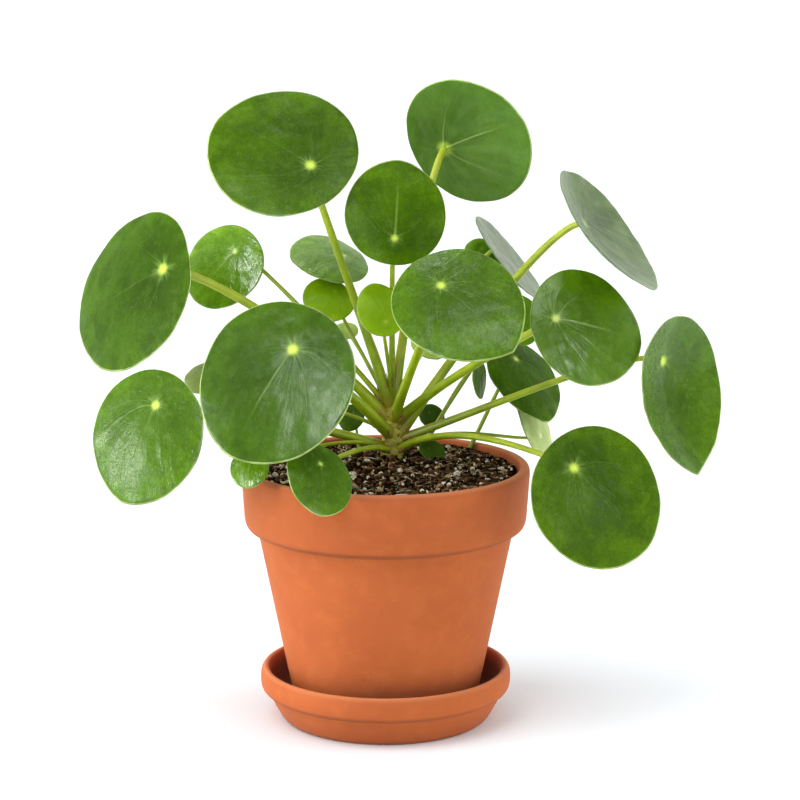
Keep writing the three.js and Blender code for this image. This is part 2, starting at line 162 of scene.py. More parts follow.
def creased(tree, where, size_mm, width):
    """Long winding creases that many millimetres apart: 0 in a crease, 1 on the skin between."""
    noise_inputs = {"Vector": where, "Scale": 1 / (size_mm * MM), "Detail": 2.0, "Distortion": 1.0}
    cloud = add(tree, "ShaderNodeTexNoise", noise_inputs)
    off_level = add(tree, MATHS, [cloud, 0.5], operation="SUBTRACT")
    off_level = add(tree, MATHS, [off_level], operation="ABSOLUTE")
    return add(tree, REMAP, [off_level, 0, width, 0, 1], **SMOOTH)


def painted(tree, ground, *coats):
    """Colour built up over a ground: each coat is how much of it shows, its hex colour and what thins it."""
    colour = linear(ground)
    for cover, coat, *thinned_by in coats:
        for share in thinned_by:
            cover = add(tree, MATHS, [cover, share], operation="MULTIPLY")
        # Sockets 6 and 7 are the two colours that are mixed
        colour = add(tree, "ShaderNodeMix", {0: cover, 6: colour, 7: linear(coat)}, data_type="RGBA")
    return colour


def embossed(tree, *layers):
    """The normal under layers of relief: each is a height from 0 to 1, its depth in mm and its strength."""
    normal = None
    for height, depth_mm, strength in layers:
        inputs = {"Height": height, "Distance": depth_mm * MM, "Strength": strength}
        if normal:
            inputs["Normal"] = normal
        normal = add(tree, "ShaderNodeBump", inputs)
    return normal


def material(name, paint, **constants):
    """A Principled material that paint fills in; sockets that are the same all over are set by constants."""
    made = bpy.data.materials.new(name)
    made.use_nodes = True
    tree = made.node_tree
    shader = tree.nodes["Principled BSDF"]
    for key, value in constants.items():
        shader.inputs[key.replace("_", " ")].default_value = value
    where = add(tree, "ShaderNodeTexCoord").outputs["Object"]
    for key, value in paint(tree, where).items():
        tree.links.new(shown(value), shader.inputs[key])
    return made


def fired_terracotta(tree, where):
    """Unglazed red clay, pressed in a turning mould and fired: matt orange, soft blooms and faint rings."""
    level = add(tree, "ShaderNodeMapping", {"Vector": where, "Scale": (0.06, 0.06, 1.0)})
    bloom = patches(tree, where, 38, 0.34, 0.66, detail=4)
    blush = patches(tree, where, 7, 0.42, 0.78, detail=5)
    rings = patches(tree, level, 1.7, 0.5, 0.78)
    specks = patches(tree, where, 0.8, 0.62, 0.8, detail=2)
    pits = patches(tree, where, 1.5, 0.72, 0.8, detail=1)
    lime = patches(tree, where, 1.2, 0.17, 0.25, 0.25, 0.0, detail=1)
    # Faces that look up are painted paler, partly rubbed wear and partly a painted highlight; faces that look
    # down, below the bands, get painted shade
    normal = add(tree, "ShaderNodeNewGeometry").outputs["Normal"]
    up = add(tree, "ShaderNodeSeparateXYZ", [normal]).outputs["Z"]
    rubbed_and_lit = add(tree, REMAP, [up, 0.3, 0.95, 0, 0.55], **SMOOTH)
    painted_shade_below = add(tree, REMAP, [up, -0.9, -0.2, 0.7, 0], **SMOOTH)
    # Painted shade inside the saucer: where it is low, and its clay doesn't face out from the axis
    x, y, height = add(tree, "ShaderNodeSeparateXYZ", [where]).outputs
    from_axis = add(tree, "ShaderNodeCombineXYZ", [x, y, 0.0])
    outwards = add(tree, VECTORS, [from_axis], operation="NORMALIZE")
    facing_out = add(tree, VECTORS, [outwards, normal], operation="DOT_PRODUCT")
    inside = add(tree, REMAP, [facing_out, -0.2, 0.3, 1, 0], **SMOOTH)
    low = add(tree, REMAP, [height, 18 * MM, 23 * MM, 0.9, 0], **SMOOTH)
    colour = painted(
        tree,
        "#a34e1a",
        (bloom, "#ab5520"),
        (blush, "#bc6a36", 0.3),
        (rings, "#9c4c22", 0.12),
        (specks, "#9a4a24", 0.3),
        (pits, "#7e3a1a", 0.5),
        (lime, "#d99a70"),
        (rubbed_and_lit, "#c87e52"),
        (painted_shade_below, "#6e3210"),
        (inside, "#6e3414", low),
    )
    return {
        "Base Color": colour,
        "Roughness": add(tree, REMAP, [blush, 0, 1, 0.78, 0.9]),
        "Normal": embossed(tree, (specks, 0.1, 0.4), (rings, 0.12, 0.4), (blush, 0.3, 0.3)),
    }


BLADE_MAP = "Blade"  # lays a blade out flat: metres from its joint along the midrib and across it
MARGIN_FROM = 0.985  # the share of the way out to the rim at which a blade's margin starts


def vein_line(tree, off_angle, reach, share, width_mm, fades):
    """A line that runs out from the stalk, is soft to that width and fades between two shares of the way."""
    aside = add(tree, MATHS, [off_angle, reach], operation="MULTIPLY")
    aside = add(tree, MATHS, [aside], operation="ABSOLUTE")
    line = add(tree, REMAP, [aside, 0.1 * MM, width_mm * MM, 1, 0], **SMOOTH)
    fade = add(tree, REMAP, [share, *fades, 1, 0], **SMOOTH)
    return add(tree, MATHS, [line, fade], operation="MULTIPLY")


def palmate_veins(tree, where):
    """Of a blade: its reach in radii, its share of the way out, and its rays, streaks, nerves and midrib."""
    flat = add(tree, "ShaderNodeUVMap", uv_map=BLADE_MAP)
    share = add(tree, "ShaderNodeAttribute", attribute_name="share").outputs["Fac"]
    radius = add(tree, "ShaderNodeAttribute", attribute_name="radius").outputs["Fac"]
    along, across, _ = add(tree, "ShaderNodeSeparateXYZ", [flat]).outputs
    reach = add(tree, VECTORS, [flat], operation="LENGTH")
    radii = add(tree, MATHS, [reach, radius], operation="DIVIDE")
    angle = add(tree, MATHS, [across, along], operation="ARCTAN2")
    # Veins bow towards the tip, so the angle that a vein left the stalk at grows with the share
    bow = add(tree, MATHS, [angle], operation="SINE")
    bow = add(tree, MATHS, [bow, share], operation="MULTIPLY")
    left_at = add(tree, MATHS, [bow, 0.75, angle], operation="MULTIPLY_ADD")
    sway = patches(tree, where, 20, 0.2, 0.8, -0.06, 0.06, detail=1)
    left_at = add(tree, MATHS, [left_at, sway], operation="ADD")
    # Six rays leave the stalk: the sine of three times the angle is zero on each of them
    rays = add(tree, MATHS, [left_at, 3], operation="MULTIPLY")
    rays = add(tree, MATHS, [rays], operation="SINE")
    rays = add(tree, MATHS, [rays], operation="ABSOLUTE")
    # Streaks that run outwards: noise that changes fast round the stalk and slowly along each ray
    cosine = add(tree, MATHS, [left_at], operation="COSINE")
    sine = add(tree, MATHS, [left_at], operation="SINE")
    slowly = add(tree, MATHS, [radii, 0.12], operation="MULTIPLY")
    spoke = add(tree, "ShaderNodeCombineXYZ", [cosine, sine, slowly])
    drift = add(tree, VECTORS, {0: where, "Scale": 5}, operation="SCALE")
    drift = add(tree, VECTORS, [spoke, drift], operation="ADD")
    streaks = patches(tree, drift, 260, 0.4, 0.66, detail=2)
    # Two long nerves leave it on either side of the midrib
    off_nerve = add(tree, MATHS, [left_at], operation="ABSOLUTE")
    off_nerve = add(tree, MATHS, [off_nerve, 1.2], operation="SUBTRACT")
    nerves = vein_line(tree, off_nerve, reach, share, 0.9, (0.15, 0.85))
    midrib = vein_line(tree, angle, reach, share, 0.8, (0.3, 0.8))
    return radii, share, rays, streaks, nerves, midrib


def leaf_face(deep, bright, rough, vein="#8caa50", spot="#c2dc50", veining=0.06, streaking=0.2, creasing=1.0):
    """Paints a blade's upper face: a waxy skin over green, sunken veins and a pale star over the stalk."""

    def paint(tree, where):
        radii, share, rays, streaks, nerves, midrib = palmate_veins(tree, where)
        cloud = patches(tree, where, 20, 0.34, 0.66, detail=3)
        blotch = patches(tree, where, 8, 0.38, 0.62, 0.2, 1.0)
        mottle = patches(tree, where, 3.6, 0.48, 0.78)
        dots = patches(tree, where, 0.9, 0.64, 0.76, detail=1)
        skin = creased(tree, where, 2.2, 0.1)
        # Painted shade in the creases of the waxy skin
        crease = add(tree, REMAP, [skin, 0, 1, 0.3 * creasing, 0])
        near_rim = add(tree, REMAP, [share, 0.4, 1.0, 0, 0.9], **SMOOTH)
        star = add(tree, MATHS, [rays, 0.05, radii], operation="MULTIPLY_ADD")
        star = add(tree, MATHS, [streaks, 0.1, star], operation="MULTIPLY_ADD")
        star = add(tree, REMAP, [star, 0.04, 0.25, 0.45, 0], **SMOOTH)
        heart = add(tree, REMAP, [radii, 0.01, 0.1, 1, 0], **SMOOTH)
        margin = add(tree, REMAP, [share, MARGIN_FROM, 0.999, 0, 0.45], **SMOOTH)
        colour = painted(
            tree,
            deep,
            (cloud, bright, 0.45),
            (near_rim, bright, blotch),
            (streaks, deep, streaking),
            (crease, "#1d3800"),
            (mottle, bright, 0.35),
            (dots, vein, 0.12),
            (nerves, vein, 0.05),
            (midrib, vein, veining),
            (star, vein),
            (heart, spot),
            (margin, vein),
        )
        grooves = [(add(tree, REMAP, [line, 0, 1, 1, 0]), 0.2, 0.4) for line in (nerves, midrib)]
        relief = [(skin, 0.08, 0.42 * creasing), (cloud, 1.0, 0.2), *grooves, (streaks, 0.4, 0.18)]
        return {
            "Base Color": colour,
            "Roughness": add(tree, REMAP, [mottle, 0, 1, *rough]),
            "Normal": embossed(tree, *relief),
        }

    return paint


def leaf_back(tree, where):
    """A blade's underside: a matt bloom over green, pleats, and raised veins that run out from the stalk."""
    radii, share, rays, streaks, nerves, midrib = palmate_veins(tree, where)
    cloud = patches(tree, where, 14, 0.3, 0.72, detail=3)
    wrinkle = patches(tree, where, 1.6, 0.3, 0.7, detail=2, warp=1.4)
    near_rim = add(tree, REMAP, [share, 0.6, 1.0, 0, 0.5], **SMOOTH)
    heart = add(tree, REMAP, [radii, 0.03, 0.16, 0.8, 0], **SMOOTH)
    colour = painted(
        tree,
        "#3a5c0c",
        (cloud, "#4a6e16"),
        (streaks, "#7c9c62", 0.1),
        (near_rim, "#466f10"),
        (nerves, "#8fae5c", 0.25),
        (midrib, "#8fae5c", 0.4),
        (heart, "#a9c445"),
    )
    pleats = [(wrinkle, 0.12, 0.45), (cloud, 1.2, 0.35)]
    veins = [(nerves, 0.3, 0.7), (midrib, 0.3, 0.8), (streaks, 0.4, 0.08)]
    return {
        "Base Color": colour,
        "Roughness": add(tree, REMAP, [cloud, 0, 1, 0.4, 0.52]),
        "Normal": embossed(tree, *pleats, *veins),
    }


def leaf_margin(tree, where):
    """A blade's edge: a thin paler line where the two skins meet."""
    return {"Base Color": painted(tree, "#7c9440", (patches(tree, where, 6, 0.35, 0.65), "#a2b470"))}


def stalk_skin(tree, where):
    """A leaf stalk: smooth, juicy yellow-green, tanned on top, with painted shade below and brown at its
    foot.
    """
    share = add(tree, "ShaderNodeAttribute", attribute_name="share").outputs["Fac"]
    upper = add(tree, "ShaderNodeAttribute", attribute_name="upper").outputs["Fac"]
    tan = add(tree, REMAP, [upper, 0.0, 0.9, 0, 0.35], **SMOOTH)
    tan_fade = add(tree, REMAP, [share, 0.1, 0.9, 1, 0.2])
    # Painted shade on the stalk's lower side, fading towards the blade
    underside_shade = add(tree, REMAP, [upper, -1.0, 0.2, 0.5, 0], **SMOOTH)
    underside_shade_fade = add(tree, REMAP, [share, 0.1, 0.7, 1, 0.1])
    near_blade = add(tree, REMAP, [share, 0.3, 1.0, 0, 0.7], **SMOOTH)
    foot = add(tree, REMAP, [share, 0.02, 0.1, 0.7, 0], **SMOOTH)
    tone = patches(tree, where, 9, 0.35, 0.65, detail=2)
    fleck = patches(tree, where, 0.9, 0.5, 0.75, detail=2)
    colour = painted(
        tree,
        "#86a000",
        (tone, "#a2ba0a"),
        (near_blade, "#bcc83e"),
        (tan, "#a58a26", tan_fade),
        (underside_shade, "#5c7400", underside_shade_fade),
        (foot, "#8c6c20"),
        (fleck, "#c0cc6c", 0.15),
    )
    return {
        "Base Color": colour,
        "Roughness": add(tree, REMAP, [tone, 0, 1, 0.34, 0.46]),
        "Normal": embossed(tree, (fleck, 0.05, 0.3)),
    }


def trunk_bark(tree, where):
    """The short trunk: green-brown corky bark, dark in the joints between old leaf scars."""
    green = patches(tree, where, 5, 0.38, 0.62)
    cork = patches(tree, where, 1.8, 0.52, 0.72, detail=5)
    cracks = patches(tree, where, 2.4, 0.3, 0.44, 0.8, 0.0, detail=5)
    return {
        "Base Color": painted(tree, "#94842a", (green, "#aeaa3c"), (cork, "#c8be66"), (cracks, "#53351a")),
        "Roughness": add(tree, REMAP, [cork, 0, 1, 0.7, 0.9]),
        "Normal": embossed(tree, (cork, 0.5, 0.8), (cracks, 0.6, 0.8)),
    }


def dry_bract(tree, where):
    """Papery stipules at the foot of each stalk: thin, tan and streaked."""
    fibre = patches(tree, where, 1.0, 0.35, 0.68, detail=4)
    return {
        "Base Color": painted(tree, "#7a5626", (fibre, "#c8a768")),
        "Roughness": add(tree, REMAP, [fibre, 0, 1, 0.65, 0.85]),
        "Normal": embossed(tree, (fibre, 0.2, 0.6)),
    }


def damp_peat(tree, where):
    """Potting mix: damp dark peat with browner crumbs."""
    clod = patches(tree, where, 3.5, 0.35, 0.7, detail=5)
    grit = patches(tree, where, 0.8, 0.55, 0.75)
    return {
        "Base Color": painted(tree, "#0a0603", (clod, "#1e130a"), (grit, "#55391e", 0.5)),
        "Roughness": add(tree, REMAP, [grit, 0, 1, 0.8, 0.95]),
        "Normal": embossed(tree, (grit, 0.4, 0.9), (clod, 1.4, 0.8)),
    }


def by_shade(tree, low, high):
    """How far each strewn grain's own random shade is from low to high."""
    shade = add(tree, "ShaderNodeAttribute", attribute_name="shade").outputs["Fac"]
    return add(tree, REMAP, [shade, low, high, 0, 1], **SMOOTH)


def peat_crumb(tree, where):
    """Loose crumbs of bark and peat, each its own brown, with a few pale chips."""
    grit = patches(tree, where, 0.7, 0.5, 0.75, 0, 0.6)
    colour = painted(
        tree,
        "#0c0704",
        (by_shade(tree, 0.2, 0.8), "#5c3f24"),
        (by_shade(tree, 0.8, 0.92), "#b4946a"),
        (by_shade(tree, 0.93, 0.95), "#ece0c4"),
        (grit, "#6b4f30", 0.6),
    )
    return {
        "Base Color": colour,
        "Roughness": add(tree, REMAP, [grit, 0, 0.6, 0.75, 0.95]),
        "Normal": embossed(tree, (grit, 0.3, 0.8)),
    }


def puffed_perlite(tree, where):
    """Perlite and pumice: pale porous grains, some dusted grey-brown with peat."""
    pores = patches(tree, where, 0.8, 0.46, 0.66, 0, 0.75)
    colour = painted(tree, "#a8987c", (by_shade(tree, 0.1, 0.5), "#eee4cc"), (pores, "#7a6c56"))
    return {
        "Base Color": colour,
        "Roughness": add(tree, REMAP, [pores, 0, 0.75, 0.7, 0.92]),
        "Normal": embossed(tree, (pores, 0.5, 0.9)),
    }


def root_fibre(tree, where):
    """Coir and root hairs in the mix: thin tan threads, a few almost white."""
    tone = patches(tree, where, 7, 0.35, 0.65, detail=2)
    colour = painted(
        tree,
        "#4a3320",
        (tone, "#8f7550"),
        (by_shade(tree, 0.5, 0.85), "#c2ae88"),
        (by_shade(tree, 0.9, 0.93), "#e6dcc4"),
    )
    return {"Base Color": colour, "Roughness": add(tree, REMAP, [tone, 0, 1, 0.7, 0.85])}


# A leaf's look follows its age and its place: how it is painted, and how strongly it shines; some looks also
# hold painted light or painted shade, as said at each
LEAF_PAINTS = {
    "grown": (leaf_face("#395a00", "#527a00", (0.24, 0.34)), 0.25),
    "satin": (leaf_face("#3b5c00", "#527a00", (0.27, 0.38), "#9cb470", "#b4cc5c", 0.3, creasing=0.4), 0.35),
    "matt": (leaf_face("#325000", "#4f7200", (0.3, 0.42)), 0.08),
    "veined": (leaf_face("#365800", "#547a00", (0.3, 0.42), veining=0.35), 0.04),
    "dark": (leaf_face("#2c4a00", "#426600", (0.27, 0.37), veining=0.25, creasing=0.5), 0.22),
    "calm": (leaf_face("#304e00", "#4c7000", (0.28, 0.4)), 0.12),
    "deep": (leaf_face("#2a4600", "#426400", (0.3, 0.42), spot="#b8d44c"), 0.08),
    # Painted shade: a darker copy of the green for leaves that sit in shade among the stalks and on the soil
    "darkened_for_shade": (leaf_face("#304a00", "#4a6a00", (0.4, 0.52), "#5c7c24", "#5a7c14", creasing=0.3), 0.06),
    "glossy": (leaf_face("#5c880a", "#7aa620", (0.18, 0.28), "#9cbc64", "#d4ea78", 0.2, 0.6), 0.6),
    # Young leaves are lighter green, and this look is lighter still as painted light shining through them
    "young": (leaf_face("#7aa200", "#92ba00", (0.36, 0.5), "#a4c03c", "#9ec218", creasing=0.3), 0.2),
    "shaded": (leaf_face("#4e7800", "#6e9a06", (0.34, 0.46), "#7a9c44", "#729a14", creasing=0.3), 0.2),
    # Painted reflection: this look's green is greyed, partly standing in for the white backdrop mirrored at a
    # slant; the shader's sheen adds the rest
    "sheen_greyed": (leaf_face("#3e5620", "#647e44", (0.36, 0.48), "#8a9c70", "#8ca468", 0.06, 0.5, 0.5), 0.4),
    "fresh": (leaf_face("#a2c03e", "#bcd65c", (0.36, 0.48), "#bcd48c", "#b8d47c", creasing=0.3), 0.3),
    "pale": (leaf_face("#92a84c", "#bccc7e", (0.42, 0.55), "#ccdaa6", "#cedea0", 0.06, 0.4, 0.3), 0.4),
}
WAX_BLOOM = {"sheen_greyed": 0.24}  # how far a dusty wax whitens a blade that is seen at a slant
LEAF_FACES = {}
for look, (paint, gloss) in LEAF_PAINTS.items():
    dust = WAX_BLOOM.get(look, 0.0)
    LEAF_FACES[look] = material(
        f"waxy_leaf_{look}", paint, IOR=1.45, Specular_IOR_Level=gloss, Sheen_Weight=dust
    )
LEAF_BACK = material("leaf_underside", leaf_back, IOR=1.4, Specular_IOR_Level=0.3)
LEAF_MARGIN = material("leaf_margin", leaf_margin, IOR=1.4, Roughness=0.5, Specular_IOR_Level=0.2)
STALK_SKIN = material("leaf_stalk_skin", stalk_skin, IOR=1.42, Specular_IOR_Level=0.35)
TRUNK_BARK = material("green_brown_bark", trunk_bark, Specular_IOR_Level=0.2)
DRY_BRACT = material("papery_stipule", dry_bract, Specular_IOR_Level=0.2)
DAMP_PEAT = material("damp_peat", damp_peat, Specular_IOR_Level=0.0)
PEAT_CRUMB = material("peat_crumb", peat_crumb, Specular_IOR_Level=0.02)
PERLITE = material("puffed_perlite", puffed_perlite, Specular_IOR_Level=0.2)
ROOT_FIBRE = material("root_fibre", root_fibre, Specular_IOR_Level=0.2)
TERRACOTTA = material(
    "fired_terracotta",
    fired_terracotta,
    IOR=1.5,
    Specular_IOR_Level=0.25,
    Sheen_Weight=0.06,
    Sheen_Tint=linear("#f2c8a0"),
)


# Making pieces
def piece(name, points, faces, finishes, replaces=(), finish_of=None, fields=None, flat=None):
    """A smooth mesh from points in mm, with its finishes and what its materials read at each point."""
    mesh = bpy.data.meshes.new(name)
    mesh.from_pydata([Vector(p) * MM for p in points], [], faces)
    for finish in finishes:
        mesh.materials.append(finish)
    mesh.polygons.foreach_set("use_smooth", [True] * len(faces))
    if finish_of:
        mesh.polygons.foreach_set("material_index", finish_of)
    for field, values in (fields or {}).items():
        mesh.attributes.new(field, "FLOAT", "POINT").data.foreach_set("value", values)
    if flat:
        layer = mesh.uv_layers.new(name=BLADE_MAP)
        for loop in mesh.loops:
            layer.data[loop.index].uv = flat[loop.vertex_index]
    mesh.update()
    settle(bpy.data.objects.new(name, mesh), replaces)


def settle(made, replaces=()):
    """Puts a finished object in the scene, on the root body and in place of the nodes it stands for."""
    bpy.context.scene.collection.objects.link(made)
    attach(made, ROOT)
    if replaces:
        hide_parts(*replaces)


def eased(profile, reach, closed=True, steps=4):
    """The profile with each corner rounded, from that reach before it, or less, to as far after it."""
    eased_points = []
    count = len(profile)
    for i, corner in enumerate(profile):
        if not closed and i in (0, count - 1):
            eased_points.append(corner)
            continue
        at = Vector(corner)
        before, after = Vector(profile[i - 1]), Vector(profile[(i + 1) % count])
        start = at + (before - at).normalized() * min(reach, 0.45 * (before - at).length)
        end = at + (after - at).normalized() * min(reach, 0.45 * (after - at).length)
        for step in range(steps + 1):
            s = step / steps
            eased_points.append(tuple(start * (1 - s) ** 2 + at * 2 * s * (1 - s) + end * s * s))
    return eased_points


def band(here, there, count):
    """The faces between two rings of that many points, which start at those indices."""
    return [(here + i, here + (i + 1) % count, there + (i + 1) % count, there + i) for i in range(count)]


def tube_faces(first, rings, count):
    """The faces over rings of that many points, from index first on, with a cap on each end."""
    last = first + (rings - 1) * count
    faces = [face for here in range(first, last, count) for face in band(here, here + count, count)]
    return [*faces, tuple(reversed(range(first, first + count))), tuple(range(last, last + count))]


WANDER = 0.0012  # how far a turned wall strays from round, as a share of its radius


def turned(profile, sides, closed):
    """Points and faces of a profile of (radius, height) turned round the axis; an open one is capped."""
    points = []
    for radius, height in profile:
        for i in range(sides):
            angle = 2 * math.pi * i / sides
            on_wall = Vector((math.cos(angle), math.sin(angle), height / 18))
            reach = radius * (1 + WANDER * noise.noise(on_wall))
            points.append((reach * math.cos(angle), reach * math.sin(angle), height))
    if not closed:
        return points, tube_faces(0, len(profile), sides)
    firsts = range(0, len(points), sides)
    return points, [face for here in firsts for face in band(here, (here + sides) % len(points), sides)]


def blade_axes(plan):
    """The upper face's normal, the direction of the tip and the direction across."""
    azimuth, elevation, tip = (math.radians(v) for v in (*plan.faces, plan.tip))
    outward = math.cos(elevation)
    normal = Vector((math.sin(azimuth) * outward, -math.cos(azimuth) * outward, math.sin(elevation)))
    level = Vector((math.cos(azimuth), math.sin(azimuth), 0))
    downhill = level.cross(normal)
    if downhill.z > 0:
        downhill.negate()
    along = downhill * math.cos(tip) + level * math.sin(tip)
    return normal, along, normal.cross(along)


FOLD = 0.45  # how much of a blade's dome across the midrib is a fold along it
FOLD_ROUND = 0.06  # how far from the midrib the fold is rounded, in radii
TIP_SPREAD = 0.6  # how far from the tip's direction the rim is drawn out, in radians
HALF_THICK, RIM_THINNED = 0.4, 0.12  # half a blade's thickness at the stalk, and how much less at the rim
DIMPLE_DEPTH, DIMPLE_REACH = 0.6, 2.6  # the hollow over the stalk
PUCKER_HEIGHT, PUCKER_FREE = 0.26, 9  # the skin puckers, but not close to the stalk
UPPER_FACE, UNDERSIDE, MARGIN, STALK = range(4)


def blade(plan, index, sides, rings):
    """Points, faces, finish of each face, share and flat place of each point of a domed, rippled blade."""
    normal, along, across = blade_axes(plan)
    radius = plan.radius
    middle = 0.5 * plan.offset * radius
    phase = index * 2.4
    ripple = (0.3 if plan.look == "sheen_greyed" else 1) * radius / 30
    seed = Vector((index * 7.3, index * 3.1, 0))

    def place(share, angle, side):
        """A point that share of the way out, at an angle from the tip, and its place on the flat blade."""
        from_tip = min(angle, 2 * math.pi - angle) / TIP_SPREAD
        drawn = 1 + plan.point * max(0, 1 - from_tip) ** 1.6
        drawn *= 1 + 0.007 * noise.noise(Vector((math.cos(angle), math.sin(angle), index)) * 1.7)
        # A blade is slightly longer than it is wide, and widest behind its middle
        t = share * radius * (plan.offset + 1.02 * math.cos(angle) * drawn)
        b = share * radius * 0.98 * math.sin(angle) * (1 - 0.05 * math.cos(angle)) * drawn
        reach = math.hypot(t, b)
        folded = (1 - FOLD) * (b / radius) ** 2 + FOLD * (math.hypot(b / radius, FOLD_ROUND) - FOLD_ROUND)
        height = plan.bend * (((t - middle) ** 2 - middle * middle) / radius + folded * radius)
        # Its rim has three broad waves and eight small ones
        height += 0.5 * ripple * share ** 3 * math.sin(3 * angle + phase)
        height += 0.22 * ripple * share ** 6 * math.sin(8 * angle + 2 * phase)
        pucker = noise.noise(Vector((t, b, 0)) / 6.5 + seed)
        pucker += 0.5 * noise.noise(Vector((t, b, 9)) / 3.1 + seed)
        height += PUCKER_HEIGHT * pucker * min(1, reach / PUCKER_FREE)
        height -= DIMPLE_DEPTH * math.exp(-((reach / DIMPLE_REACH) ** 2))
        height += side * (HALF_THICK - RIM_THINNED * share ** 4)
        point = Vector(plan.joint) + along * t + across * b + normal * height
        return point, (t * MM, b * MM)

    points, flats, shares, faces, finish_of = [], [], [], [], []
    ring_shares = [(ring / rings) ** 0.8 * MARGIN_FROM for ring in range(rings + 1)]
    for side in (1, -1):
        for ring, share in enumerate(ring_shares):
            for i in range(1 if ring == 0 else sides):
                point, flat = place(share, 2 * math.pi * i / sides, side)
                points.append(point)
                flats.append(flat)
                shares.append(share)
    face_points = len(points) // 2
    for i in range(sides):
        point, flat = place(1.0, 2 * math.pi * i / sides, 0)
        points.append(point)
        flats.append(flat)
        shares.append(1.0)

    def corner(face, ring, i):
        """The index of the point i steps round that ring of a face; ring 0 is the one point at the joint."""
        return face * face_points + (0 if ring == 0 else 1 + (ring - 1) * sides + i % sides)

    for face in (UPPER_FACE, UNDERSIDE):
        for i in range(sides):
            loops = [(corner(face, 0, 0), corner(face, 1, i), corner(face, 1, i + 1))]
            for ring in range(1, rings):
                inner, outer = (corner(face, r, i) for r in (ring, ring + 1))
                inner_next, outer_next = (corner(face, r, i + 1) for r in (ring, ring + 1))
                loops.append((inner, outer, outer_next, inner_next))
            faces += [tuple(reversed(loop)) for loop in loops] if face else loops
            finish_of += [face] * len(loops)
            rim, rim_next = (2 * face_points + k % sides for k in (i, i + 1))
            edge = (corner(face, rings, i), rim, rim_next, corner(face, rings, i + 1))
            faces.append(tuple(reversed(edge)) if face else edge)
            finish_of.append(MARGIN)
    return points, faces, finish_of, shares, flats


# Stalks
ROOTED = 9  # how deep a stalk that rises from the soil starts
INTO_BLADE = 0.5  # how far behind the upper skin a stalk ends


def stalk_path(plan, steps):
    """Points along a stalk, from inside the trunk or below the soil to the back of its blade."""
    stem = plan.stem
    normal = blade_axes(plan)[0]
    joined = Vector(plan.joint)
    in_soil = isinstance(stem.root, tuple)
    start = Vector((*stem.root, SOIL_EDGE - ROOTED)) if in_soil else Vector((*TRUNK_AT, stem.root))
    span = (joined - start).length
    outward = Vector((joined.x - start.x, joined.y - start.y, 0)).normalized()
    rise = math.radians(stem.rise)
    near = start + (outward * math.cos(rise) + Vector((0, 0, math.sin(rise)))) * stem.reach * span
    far = joined - normal * stem.hook * span + Vector((0, 0, stem.arch))
    end = joined - normal * INTO_BLADE
    path = []
    for step in range(steps + 1):
        s = step / steps
        point = start * (1 - s) ** 3 + near * 3 * s * (1 - s) ** 2
        point += far * 3 * s * s * (1 - s)
        point += end * s ** 3
        path.append(point)
    return path


def tube(path, radii, sides):
    """Points and faces of a closed tube along a path, with a radius at each of its points."""
    points = []
    lean = path[-1] - path[0]
    sideways = Vector((-lean.y, lean.x, 0)).normalized()
    for i, middle in enumerate(path):
        onward = (path[min(i + 1, len(path) - 1)] - path[max(i - 1, 0)]).normalized()
        sideways = (sideways - onward * sideways.dot(onward)).normalized()
        upwards = onward.cross(sideways)
        for k in range(sides):
            angle = 2 * math.pi * k / sides
            points.append(middle + (sideways * math.cos(angle) + upwards * math.sin(angle)) * radii[i])
    return points, tube_faces(0, len(path), sides)


def stalk(plan, index, steps=30, sides=12):
    """Points, faces and fields of a stalk that swells at its foot and thins where it meets the blade."""
    path = stalk_path(plan, steps)
    radii = []
    for step in range(steps + 1):
        s = step / steps
        swell = 1.18 - 0.42 * s
        swell += 0.25 * math.exp(-((s / 0.12) ** 2))
        swell -= 0.15 * math.exp(-(((1 - s) / 0.04) ** 2))
        knots = 1 + 0.04 * noise.noise(Vector((s * 9, index, 0)))
        radii.append(plan.stem.thick * swell * knots)
    points, faces = tube(path, radii, sides)
    shares = [step / steps for step in range(steps + 1) for _ in range(sides)]
    uppers = [math.sin(2 * math.pi * k / sides) for _ in range(steps + 1) for k in range(sides)]
    return points, faces, {"share": shares, "upper": uppers}


def soil_height(x, y):
    """The soil's surface: mounded at the trunk, lumpy all over."""
    from_trunk = math.hypot(x - TRUNK_AT[0], y - TRUNK_AT[1])
    mound = SOIL_MOUND * math.exp(-((from_trunk / MOUND_REACH) ** 2))
    lumps = 1.5 * noise.noise(Vector((x, y, 0)) / 7) + 0.8 * noise.noise(Vector((x, y, 5)) / 2.8)
    return SOIL_EDGE + SOIL_RAISED + mound + lumps


# Pot and saucer
CORNER_EASE = 1.6
for name, profile, closed in (("saucer", SAUCER_PROFILE, False), ("pot", POT_PROFILE, True)):
    points, faces = turned(eased(profile, CORNER_EASE, closed), POT_SIDES, closed)
    piece(f"turned_{name}", points, faces, [TERRACOTTA], [name])

# Soil: a filling with a lumpy top, which ends in two rings on the pot's floor
SOIL_SIDES, SOIL_RINGS = 120, 56
SOIL_RADIUS = 59.9
SOIL_FOOT = ((37.6, 14.8), (35.2, 12.8))
soil_points = [(0, 0, soil_height(0, 0))]
for ring in range(1, SOIL_RINGS + 1):
    for i in range(SOIL_SIDES):
        angle = 2 * math.pi * i / SOIL_SIDES
        reach = SOIL_RADIUS * ring / SOIL_RINGS
        x, y = reach * math.cos(angle), reach * math.sin(angle)
        soil_points.append((x, y, soil_height(x, y)))
soil_faces = [(0, 1 + i, 1 + (i + 1) % SOIL_SIDES) for i in range(SOIL_SIDES)]
for ring in range(1, SOIL_RINGS + len(SOIL_FOOT)):
    outer = 1 + ring * SOIL_SIDES
    soil_faces += [(a, d, c, b) for a, b, c, d in band(outer - SOIL_SIDES, outer, SOIL_SIDES)]
top_points, top_faces = list(soil_points), soil_faces[:SOIL_RINGS * SOIL_SIDES]
